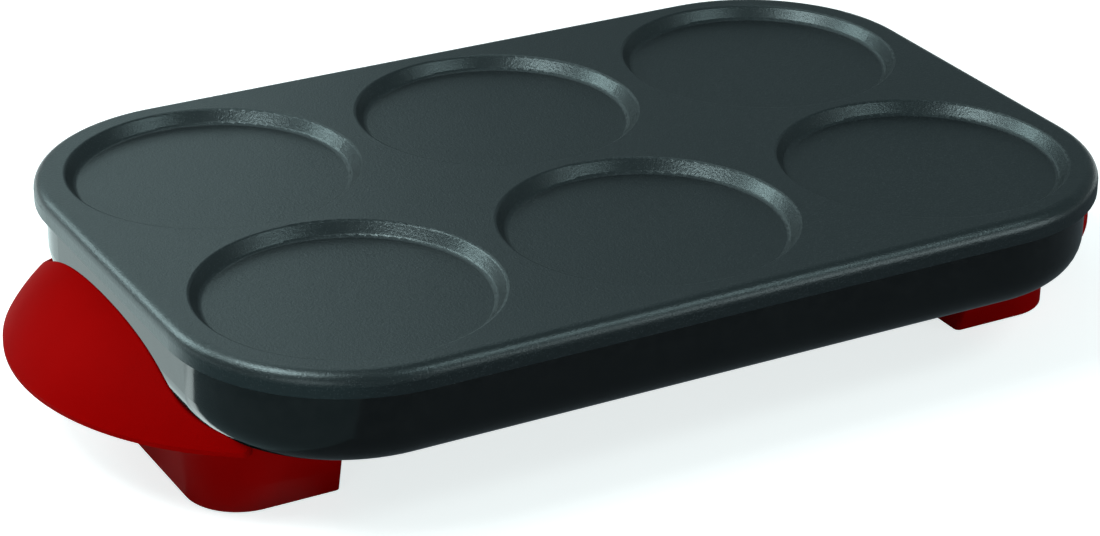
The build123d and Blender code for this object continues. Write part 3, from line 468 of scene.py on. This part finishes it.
@dataclass(frozen=True)
class MouldedPlastic(Finish):
    """Moulded plastic with a fine tool grain.

    Attributes:
        colour: Colour of the plastic.
        roughness: Roughness of the clean surface.
        grain: Grain cells per metre.
        specular: Strength of the reflection, 0.5 for common plastic.
        drift: Factors on the colour where its tone is darkest and palest.
        polish: How much less rough handling marks are.
        grain_depth: Depth of the grain in metres.
    """

    colour: Colour = (0.05, 0.05, 0.05)
    roughness: float = 0.5
    grain: float = 1500.0
    specular: float = 0.5
    drift: Span = (0.93, 1.05)
    polish: float = 0.08
    grain_depth: float = 0.04 * MM

    def mix(self, recipe: Recipe) -> None:
        """Fine grain, a slow drift of tone, handling marks and paler rubbed edges."""
        grain = recipe.effect(grain_effect, Scale=self.grain)
        wipes = recipe.effect(smudge_effect, Scale=20.0)
        wear = recipe.effect(wear_effect, Start=0.54, Amount=0.3)
        dark, pale = (shade(self.colour, factor) for factor in self.drift)
        rubbed = shade(self.colour, 1.2, lift=0.002)
        tone = recipe.blend(grain.outputs["Tone"], dark, pale)
        polished = self.roughness - self.polish
        recipe.feed(recipe.blend(wear.outputs["Mask"], tone, rubbed), "Base Color")
        recipe.feed(recipe.between(wipes.outputs["Mask"], self.roughness, polished), "Roughness")
        recipe.set(Specular_IOR_Level=self.specular)
        recipe.bump(grain.outputs["Height"], self.grain_depth, strength=0.5)


@dataclass(frozen=True)
class SoftRubber(Finish):
    """Matt rubber or silicone.

    Attributes:
        colour: Colour of the rubber.
        roughness: Roughness of the surface.
        dust: Colour of settled dust.
        drift: Factor on the colour where its tone is palest.
        pits: Depth of the pits in metres.
    """

    colour: Colour = (0.02, 0.02, 0.02)
    roughness: float = 0.75
    dust: Colour = (0.25, 0.24, 0.22)
    drift: float = 1.3
    pits: float = 0.05 * MM

    def mix(self, recipe: Recipe) -> None:
        """A dull ground with fine pits and settled dust."""
        grain = recipe.effect(grain_effect, Scale=2200.0)
        dust = recipe.effect(dust_effect, Amount=0.3)
        tone = recipe.blend(grain.outputs["Tone"], self.colour, shade(self.colour, self.drift))
        recipe.feed(recipe.blend(dust.outputs["Mask"], tone, self.dust), "Base Color")
        recipe.set(Roughness=self.roughness)
        recipe.bump(grain.outputs["Height"], self.pits, strength=0.5)


@dataclass(frozen=True)
class BareMetal(Finish):
    """Bare or plated metal with a rolling or plating grain.

    Attributes:
        colour: Colour of the reflection.
        stain: Colour of tarnish and heat tint.
        roughness: Roughness where it is clean.
        stain_share: How strongly the stain shows where it is strongest.
        least_stain: How strongly it shows elsewhere.
        dulling: How much rougher the smudges are.
        grain_depth: Depth of the rolling or plating grain in metres.
    """

    colour: Colour = (0.62, 0.61, 0.58)
    stain: Colour = (0.4, 0.36, 0.3)
    roughness: float = 0.3
    stain_share: float = 0.4
    least_stain: float = 0.05
    dulling: float = 0.15
    grain_depth: float = 0.02 * MM

    def mix(self, recipe: Recipe) -> None:
        """Clean metal that drifts to its stain, with rougher smudges."""
        grain = recipe.effect(grain_effect, Scale=1800.0)
        smudge = recipe.effect(smudge_effect, Scale=60.0)
        share = recipe.between(smudge.outputs["Mask"], self.least_stain, self.stain_share)
        dull = self.roughness + self.dulling
        recipe.feed(recipe.blend(share, self.colour, self.stain), "Base Color")
        recipe.feed(recipe.between(smudge.outputs["Mask"], self.roughness, dull), "Roughness")
        recipe.set(Metallic=1.0)
        recipe.bump(grain.outputs["Height"], self.grain_depth, strength=0.4)


@dataclass(frozen=True)
class Ceramic(Finish):
    """Unglazed steatite.

    Attributes:
        colour: Colour of the body.
        stain: Colour of the warm stains.
        drift: Factor on the colour where its tone is darkest.
        roughness: Roughness of the surface.
        pits: Depth of the pits in metres.
    """

    colour: Colour = (0.78, 0.75, 0.68)
    stain: Colour = (0.6, 0.52, 0.4)
    drift: float = 0.88
    roughness: float = 0.7
    pits: float = 0.05 * MM

    def mix(self, recipe: Recipe) -> None:
        """Chalky body with fine pits and a few warm stains."""
        grain = recipe.effect(grain_effect, Scale=2600.0)
        smudge = recipe.effect(smudge_effect, Scale=90.0)
        tone = recipe.blend(grain.outputs["Tone"], self.colour, shade(self.colour, self.drift))
        recipe.feed(recipe.blend(smudge.outputs["Mask"], tone, self.stain), "Base Color")
        recipe.set(Roughness=self.roughness)
        recipe.bump(grain.outputs["Height"], self.pits, strength=0.6)


@dataclass(frozen=True)
class ClearLens(Finish):
    """Tinted clear plastic or glass.

    Attributes:
        colour: Tint.
        roughness: Roughness of the surface.
        ior: Index of refraction.
        clearness: Share of the light that passes through.
        haze: How much rougher handling marks are.
    """

    colour: Colour = (0.85, 0.3, 0.04)
    roughness: float = 0.12
    ior: float = 1.49
    clearness: float = 0.9
    haze: float = 0.1

    def mix(self, recipe: Recipe) -> None:
        """Tinted transmission with faint handling marks."""
        wipes = recipe.effect(smudge_effect, Scale=150.0)
        hazed = self.roughness + self.haze
        recipe.feed(recipe.between(wipes.outputs["Mask"], self.roughness, hazed), "Roughness")
        recipe.set(Base_Color=(*self.colour, 1.0), Transmission_Weight=self.clearness, IOR=self.ior)


class Paint(Enum):
    """Every finish of the maker, by what it is made of."""

    PLATE = NonStickCoat("cast_nonstick")
    PAN = GlossEnamel("baked_black_paint")
    RED = MouldedPlastic("red_end_moulding", colour=(0.285, 0.0002, 0.0002), roughness=0.62, specular=0.008)
    BLACK = MouldedPlastic("black_moulding", colour=(0.018, 0.018, 0.019), roughness=0.48)
    ZINC = BareMetal("zinc_plate", colour=(0.66, 0.65, 0.6), stain=(0.5, 0.47, 0.36))
    SHEATH = BareMetal("heated_sheath", (0.3, 0.28, 0.26), (0.12, 0.09, 0.11), 0.42, 0.9)
    BRASS = BareMetal("stamped_brass", (0.78, 0.6, 0.3), (0.45, 0.3, 0.14), 0.28, 0.5)
    CERAMIC = Ceramic("steatite")

    # The frame has slot materials with these seven names, and Finish.material() finds those first. What wears
    # them has the frame's plain material, and the values here take effect only under names of their own.
    RUBBER = SoftRubber("pad_rubber")
    TRAY = BareMetal("bright_tray", (0.8, 0.8, 0.81), (0.62, 0.56, 0.44), 0.24, 0.5)
    AMBER = ClearLens("amber_lens")
    BULB = ClearLens("lamp_glass", (0.95, 0.93, 0.9), 0.03, 1.5)
    BROWN = SoftRubber("brown_sleeve", (0.09, 0.028, 0.012), 0.55)
    BLUE = SoftRubber("blue_sleeve", (0.01, 0.06, 0.3), 0.55)
    GREEN = SoftRubber("green_sleeve", (0.06, 0.28, 0.03), 0.55)


def wear_finish(obj: bpy.types.Object, paint: Paint) -> None:
    """Give a piece one finish all over.

    Args:
        obj: CAD node or new piece.
        paint: Finish to wear.
    """
    obj.data.materials.clear()
    obj.data.materials.append(paint.value.material())


def dress(paint: Paint, *nodes: str) -> None:
    """Give CAD nodes their finish.

    Args:
        paint: Finish to wear.
        *nodes: Names of the nodes.
    """
    for name in nodes:
        wear_finish(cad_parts[name], paint)
        LOG.info("dressed %s in %s", name, paint.value.name)


def new_piece(name: str, mesh: bmesh.types.BMesh, paint: Paint, body: Body) -> bpy.types.Object:
    """Turn a bmesh into a piece of the maker that rides on a body.

    Args:
        name: Name of the piece.
        mesh: Finished bmesh; it is freed.
        paint: Finish to wear.
        body: Body that the piece rides on.

    Returns:
        The new object.
    """
    bmesh.ops.remove_doubles(mesh, verts=mesh.verts, dist=WELD_DISTANCE)
    bmesh.ops.recalc_face_normals(mesh, faces=mesh.faces)
    data = bpy.data.meshes.new(name)
    mesh.to_mesh(data)
    mesh.free()
    data.shade_smooth()
    data.set_sharp_from_angle(angle=SHARP_ANGLE)
    piece = bpy.data.objects.new(name, data)
    bpy.context.scene.collection.objects.link(piece)
    wear_finish(piece, paint)
    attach(piece, body.value)
    LOG.info("made %s with %d faces", name, len(data.polygons))
    return piece


def turned(bm: bmesh.types.BMesh, profile: Sequence[Span], place: Matrix, steps: int) -> None:
    """Turn a profile about the Z axis of a place, as on a lathe.

    Args:
        bm: Mesh that receives the surface.
        profile: Radius and height of each point, from one end of the wall to the other.
        place: Where the axis stands.
        steps: Steps round the full turn.
    """
    held = set(bm.verts)
    verts = [bm.verts.new((radius, 0.0, height)) for radius, height in profile]
    edges = [bm.edges.new(pair) for pair in zip(verts, verts[1:])]
    bmesh.ops.spin(
        bm,
        geom=verts + edges,
        cent=(0.0, 0.0, 0.0),
        axis=(0.0, 0.0, 1.0),
        angle=math.tau,
        steps=steps,
        use_merge=True,
    )
    bmesh.ops.transform(bm, matrix=place, verts=[v for v in bm.verts if v not in held])


# Sub-assemblies of the maker


@dataclass
class CookingPlate:
    """The cast plate with its wells, as one CAD node."""

    def dress(self) -> None:
        """Spray the plate with its non-stick coat."""
        dress(Paint.PLATE, "cooking_plate")


@dataclass
class BasePan:
    """The painted pan, the earth stud in its floor and the bush for the wires."""

    def dress(self) -> None:
        """Paint the pan and plate its hardware."""
        dress(Paint.PAN, "base_pan")
        dress(Paint.ZINC, "earth_stud", "handle_screws", "handle_nuts")
        dress(Paint.BRASS, "earth_tag")
        dress(Paint.RUBBER, "wire_grommet")


@dataclass
class EndPieces:
    """The two red mouldings with their covers, screws and treaded pads.

    Attributes:
        pad_radius: Radius of a pad.
        pad_height: Height of a pad.
        groove_depth: Depth of the grooves in a pad's tread.
        groove_radii: Radii of the middles of the grooves.
        groove_width: Width of a groove.
        groove_taper: Width of a groove's floor as a share of its width.
        edge: Size of the worn edge round the underside.
        edge_cut: Share of that size at which the edge turns.
        turn_steps: Steps round a pad.
    """

    pad_radius: float = 9.0 * MM
    pad_height: float = 2.4 * MM
    groove_depth: float = 0.5 * MM
    groove_radii: tuple[float, ...] = (2.6 * MM, 4.8 * MM, 7.0 * MM)
    groove_width: float = 0.9 * MM
    groove_taper: float = 0.6
    edge: float = 0.5 * MM
    edge_cut: float = 0.3
    turn_steps: int = 48

    def tread(self) -> list[Span]:
        """Profile of a pad from the middle of its underside to the middle of its top."""
        half = self.groove_width / 2
        floor = half * self.groove_taper
        cut = self.edge * self.edge_cut
        points = [(0.0, 0.0)]
        for radius in self.groove_radii:
            points += [
                (radius - half, 0.0),
                (radius - floor, self.groove_depth),
                (radius + floor, self.groove_depth),
                (radius + half, 0.0),
            ]
        points += [
            (self.pad_radius - self.edge, 0.0),
            (self.pad_radius - cut, cut),
            (self.pad_radius, self.edge),
            (self.pad_radius, self.pad_height),
            (0.0, self.pad_height),
        ]
        return points

    def build(self) -> None:
        """Model the four pads with their grooved tread, standing where the CAD pads stand."""
        low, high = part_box("foot_pads")
        reach_x = high[0] - self.pad_radius
        reach_y = high[1] - self.pad_radius
        bm = bmesh.new()
        for side in Side:
            for sign in (-1, 1):
                spot = Matrix.Translation((side.value * reach_x, sign * reach_y, low[2]))
                turned(bm, self.tread(), spot, self.turn_steps)
        pads = new_piece("treaded_pads", bm, Paint.RUBBER, Body.BASE)
        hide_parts("foot_pads")

    def dress(self) -> None:
        """Colour the mouldings and their covers, and keep the ends out of the pan's mirror reflections."""
        dress(Paint.RED, "left_handle", "right_handle")
        for name in ("left_handle", "right_handle", "pilot_holder", "pilot_lens", "pilot_lamp"):
            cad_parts[name].visible_glossy = False
        dress(Paint.BLACK, "left_cover", "right_cover")
        dress(Paint.ZINC, "cover_screws")


@dataclass
class HeatingSystem:
    """The element with its beads, pins and clips, over the reflector tray."""

    def dress(self) -> None:
        """Tint the sheath, and finish the metal and ceramic round it."""
        dress(Paint.SHEATH, "heating_element")
        dress(Paint.CERAMIC, "element_beads", "tray_spacers")
        dress(Paint.ZINC, "element_pins", "element_clips", "tray_screws")
        dress(Paint.TRAY, "reflector_tray")


@dataclass
class ControlGear:
    """Thermostat and thermal fuse."""

    def dress(self) -> None:
        """Finish the thermostat, its bridge and the fuse."""
        dress(Paint.BLACK, "thermostat_body")
        dress(Paint.TRAY, "thermostat_cap")
        dress(Paint.BRASS, "thermostat_tabs")
        dress(Paint.ZINC, "thermostat_bridge", "fuse_wires")
        dress(Paint.CERAMIC, "thermal_fuse")


@dataclass
class Terminals:
    """Mains inlet, pilot light and wires.

    Attributes:
        sleeve_length: Length of the insulating sleeve over a push-on receptacle.
        sleeve_width: Width of the sleeve.
        sleeve_height: Height of the sleeve.
        overhang: How far the sleeve reaches past the end of its tab.
        tab_half: Half the width of a tab, from its outer edge to its middle.
        edge: Radius of the sleeve's edges.
        edge_segments: Faces round such an edge.
    """

    sleeve_length: float = 9.0 * MM
    sleeve_width: float = 8.4 * MM
    sleeve_height: float = 3.4 * MM
    overhang: float = 0.6 * MM
    tab_half: float = 3.15 * MM
    edge: float = 0.9 * MM
    edge_segments: int = 4

    def build(self) -> None:
        """Model the sleeves over the receptacles on the element's two tabs."""
        low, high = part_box("element_pins")
        middle_z = (low[2] + high[2]) / 2
        middle_x = high[0] - self.sleeve_length / 2 + self.overhang
        half_y = (high[1] - low[1]) / 2 - self.tab_half
        bm = bmesh.new()
        for sign in (-1, 1):
            made = bmesh.ops.create_cube(bm, size=1.0)
            size = Matrix.Diagonal((self.sleeve_length, self.sleeve_width, self.sleeve_height, 1.0))
            spot = Matrix.Translation((middle_x, sign * half_y, middle_z))
            bmesh.ops.transform(bm, matrix=spot @ size, verts=made["verts"])
        bmesh.ops.bevel(
            bm,
            geom=list(bm.edges),
            offset=self.edge,
            offset_type="OFFSET",
            segments=self.edge_segments,
            profile=0.5,
            affect="EDGES",
            material=-1,
        )
        new_piece("terminal_sleeves", bm, Paint.RUBBER, Body.BASE)

    def dress(self) -> None:
        """Finish the inlet, the light and the wires."""
        dress(Paint.BLACK, "inlet_housing", "pilot_holder")
        dress(Paint.BRASS, "inlet_pins")
        dress(Paint.AMBER, "pilot_lens")
        dress(Paint.BULB, "pilot_lamp")
        dress(Paint.BROWN, "live_wire", "fused_wire", "switched_wire")
        dress(Paint.BLUE, "neutral_wire", "lamp_wire")
        dress(Paint.GREEN, "earth_wire")


# Studio


def flat_sheet(name: str, half: Span, place: Matrix, material: bpy.types.Material) -> bpy.types.Object:
    """Lay out a flat sheet that belongs to the studio.

    Args:
        name: Name of the sheet.
        half: Half its length and half its width.
        place: Where it lies.
        material: What it is covered with.

    Returns:
        The sheet.
    """
    bm = bmesh.new()
    bmesh.ops.create_grid(bm, x_segments=1, y_segments=1, size=1.0)
    bmesh.ops.scale(bm, vec=(*half, 1.0), verts=bm.verts)
    bmesh.ops.transform(bm, matrix=place, verts=bm.verts)
    data = bpy.data.meshes.new(name)
    bm.to_mesh(data)
    bm.free()
    data.materials.append(material)
    sheet = bpy.data.objects.new(name, data)
    bpy.context.scene.collection.objects.link(sheet)
    return sheet


@dataclass(frozen=True)
class SoftBox:
    """An area lamp.

    Attributes:
        name: Name of the lamp.
        place: Where it hangs.
        aim: Point that it faces.
        size: Width and height of its face.
        power: Power in watts.
        colour: Colour of its light.
    """

    name: str
    place: Place
    aim: Place
    size: Span
    power: float
    colour: Colour = (1.0, 1.0, 1.0)

    def hang(self) -> None:
        """Add the lamp to the scene."""
        data = bpy.data.lights.new(self.name, "AREA")
        data.shape = "RECTANGLE"
        data.size, data.size_y = self.size
        data.energy = self.power
        data.color = self.colour
        lamp = bpy.data.objects.new(self.name, data)
        bpy.context.scene.collection.objects.link(lamp)
        lamp.location = self.place
        lamp.rotation_euler = (Vector(self.aim) - Vector(self.place)).to_track_quat("-Z", "Y").to_euler()


@dataclass(frozen=True)
class Card:
    """A card laid on the floor that only reflections see, as a photographer sets it to shape a highlight.

    Attributes:
        name: Name of the card.
        middle: Its middle, with its height above the floor.
        size: Length and width of the card.
        turn: Degrees that its length is turned from X.
        colour: Colour of the card.
        glow: Strength of its light in a reflection.
    """

    name: str
    middle: Place
    size: Span
    turn: float
    colour: Colour
    glow: float

    def coating(self) -> bpy.types.Material:
        """Even glow of the card."""
        material = bpy.data.materials.new(self.name)
        material.use_nodes = True
        tree = material.node_tree
        tree.nodes.clear()
        glow = tree.nodes.new("ShaderNodeEmission")
        glow.inputs["Color"].default_value = (*self.colour, 1.0)
        glow.inputs["Strength"].default_value = self.glow
        out = tree.nodes.new("ShaderNodeOutputMaterial")
        tree.links.new(glow.outputs["Emission"], out.inputs["Surface"])
        return material

    def lay(self) -> None:
        """Lay the card on the floor."""
        place = Matrix.Translation(self.middle) @ Matrix.Rotation(math.radians(self.turn), 4, "Z")
        card = flat_sheet(self.name, (self.size[0] / 2, self.size[1] / 2), place, self.coating())
        card.visible_camera = False
        card.visible_diffuse = False
        card.visible_transmission = False
        card.visible_shadow = False
        card.visible_volume_scatter = False


@dataclass
class Studio:
    """Pale floor, soft lamps and a plain sky.

    Attributes:
        floor_half: Half the side of the floor.
        floor_colour: Colour of the floor.
        floor_lift: Light added to the floor where it is seen, so that it reads as a white ground.
        lift_colour: Colour of that light, which tints the shadow.
        sky_colour: Colour of the sky.
        sky_strength: Strength of the sky.
        lamps: The lamps.
        cards: Cards that shape the reflections.
    """

    floor_half: float = 12.0
    floor_colour: Colour = (0.75, 0.75, 0.75)
    floor_lift: float = 0.75
    lift_colour: Colour = (0.95, 1.0, 1.0)
    sky_colour: Colour = (0.72, 0.96, 1.0)
    sky_strength: float = 0.2
    lamps: tuple[SoftBox, ...] = (
        SoftBox("key_box", (-0.75, -0.05, 1.1), (-0.1, 0.0, 0.05), (0.55, 0.45), 8.8, (0.93, 1.0, 1.0)),
        SoftBox("front_top_box", (0.55, -0.85, 1.15), (0.0, 0.0, 0.05), (0.6, 0.35), 2.9, (0.88, 1.0, 1.0)),
        SoftBox("left_back_box", (-0.9, 0.9, 0.7), (-0.1, 0.0, 0.08), (0.6, 0.5), 6.5, (0.85, 1.0, 1.0)),
        SoftBox("back_box", (-0.1, 1.35, 0.7), (-0.1, 0.0, 0.08), (1.2, 0.5), 1.35, (0.8, 1.0, 1.0)),
        SoftBox("over_back_box", (-0.1, 0.8, 1.1), (-0.1, 0.0, 0.05), (1.2, 0.6), 1.5, (0.85, 1.0, 1.0)),
        SoftBox("front_left_box", (-1.6, -1.3, 0.45), (-0.1, 0.0, 0.05), (1.0, 0.6), 3.2),
        SoftBox("front_right_box", (1.5, -1.9, 0.5), (0.0, 0.0, 0.03), (1.2, 0.7), 8.0),
    )
    cards: tuple[Card, ...] = (
        Card("front_flag", (0.75, -1.2, 0.0008), (1.9, 2.5), 0.0, (0.7, 0.9, 1.0), 0.12),
        Card("left_flag", (-0.4735, -0.5144, 0.0006), (1.4, 1.0), 131.9, (0.6, 0.93, 1.0), 0.24),
        Card("left_strip", (-0.2608, 0.2806, 0.0003), (0.67, 0.4), 131.9, (0.82, 1.0, 1.0), 1.4),
        Card("edge_strip", (-0.3947, 0.1519, 0.0004), (0.67, 0.03), 131.9, (0.84, 1.0, 1.0), 2.2),
    )

    def floor_cover(self) -> bpy.types.Material:
        """Pale floor that reads as a white ground and keeps the maker's shadow."""
        material = bpy.data.materials.new("pale_floor")
        material.use_nodes = True
        tree = material.node_tree
        tree.nodes.clear()
        diffuse = tree.nodes.new("ShaderNodeBsdfDiffuse")
        diffuse.inputs["Color"].default_value = (*self.floor_colour, 1.0)
        glow = tree.nodes.new("ShaderNodeEmission")
        glow.inputs["Color"].default_value = (*self.lift_colour, 1.0)
        path = tree.nodes.new("ShaderNodeLightPath")
        seen = path.outputs["Is Camera Ray"]
        for kind in ("Is Glossy Ray", "Is Transmission Ray"):
            either = tree.nodes.new("ShaderNodeMath")
            either.operation = "ADD"
            tree.links.new(seen, either.inputs[0])
            tree.links.new(path.outputs[kind], either.inputs[1])
            seen = either.outputs[0]
        lift = tree.nodes.new("ShaderNodeMath")
        lift.operation = "MULTIPLY"
        lift.inputs[1].default_value = self.floor_lift
        tree.links.new(seen, lift.inputs[0])
        tree.links.new(lift.outputs[0], glow.inputs["Strength"])
        both = tree.nodes.new("ShaderNodeAddShader")
        tree.links.new(diffuse.outputs["BSDF"], both.inputs[0])
        tree.links.new(glow.outputs["Emission"], both.inputs[1])
        out = tree.nodes.new("ShaderNodeOutputMaterial")
        tree.links.new(both.outputs["Shader"], out.inputs["Surface"])
        return material

    def light(self) -> None:
        """Set the sky, hang the lamps and lay the cards."""
        world = bpy.data.worlds.new("studio")
        bpy.context.scene.world = world
        world.use_nodes = True
        sky = world.node_tree.nodes["Background"]
        sky.inputs["Color"].default_value = (*self.sky_colour, 1.0)
        sky.inputs["Strength"].default_value = self.sky_strength
        for lamp in self.lamps:
            lamp.hang()
        for card in self.cards:
            card.lay()

    def build(self) -> None:
        """Set up the whole studio."""
        bpy.context.scene.view_settings.view_transform = "Standard"
        flat_sheet("floor", (self.floor_half, self.floor_half), Matrix.Identity(4), self.floor_cover())
        self.light()


@dataclass(frozen=True)
class PhotoCamera:
    """Camera that sees the maker from the photograph's viewing angle.

    Attributes:
        focal_pixels: Focal length in pixels of the photograph.
        frame_width: Width of the photograph in pixels.
        sensor: Width of the sensor in millimetres.
        azimuth: Degrees round the maker, 0 looking along Y.
        elevation: Degrees above the horizon.
        roll: Degrees of roll.
        place: Where the camera stands.
        clip: Nearest and farthest distance that it sees.
    """

    focal_pixels: float = 3254.5
    frame_width: int = 1100
    sensor: float = 36.0
    azimuth: float = -29.171
    elevation: float = 25.661
    roll: float = 0.563
    place: Place = (-0.64108, -1.13198, 0.65538)
    clip: Span = (0.05, 60.0)

    def build(self) -> None:
        """Add the camera and make it the scene's."""
        a, e, r = (math.radians(x) for x in (self.azimuth, self.elevation, self.roll))
        forward = Vector((-math.sin(a) * math.cos(e), math.cos(a) * math.cos(e), -math.sin(e)))
        right = forward.cross(Vector((0.0, 0.0, 1.0))).normalized()
        down = forward.cross(right)
        across = math.cos(r) * right - math.sin(r) * down
        below = math.sin(r) * right + math.cos(r) * down
        data = bpy.data.cameras.new("photo_camera")
        data.sensor_fit = "HORIZONTAL"
        data.sensor_width = self.sensor
        data.lens = self.sensor * self.focal_pixels / self.frame_width
        data.clip_start, data.clip_end = self.clip
        camera = bpy.data.objects.new("photo_camera", data)
        bpy.context.scene.collection.objects.link(camera)
        turn = Matrix((across, -below, -forward)).transposed().to_4x4()
        camera.matrix_world = Matrix.Translation(Vector(self.place)) @ turn
        bpy.context.scene.camera = camera


def main() -> None:
    """Build the maker's sub-assemblies, the studio and the camera in order."""
    logging.basicConfig(level=logging.INFO, format="%(message)s")
    PhotoCamera().build()
    Studio().build()
    CookingPlate().dress()
    BasePan().dress()
    ends = EndPieces()
    ends.build()
    ends.dress()
    HeatingSystem().dress()
    ControlGear().dress()
    terminals = Terminals()
    terminals.build()
    terminals.dress()


if __name__ == "__main__":
    main()
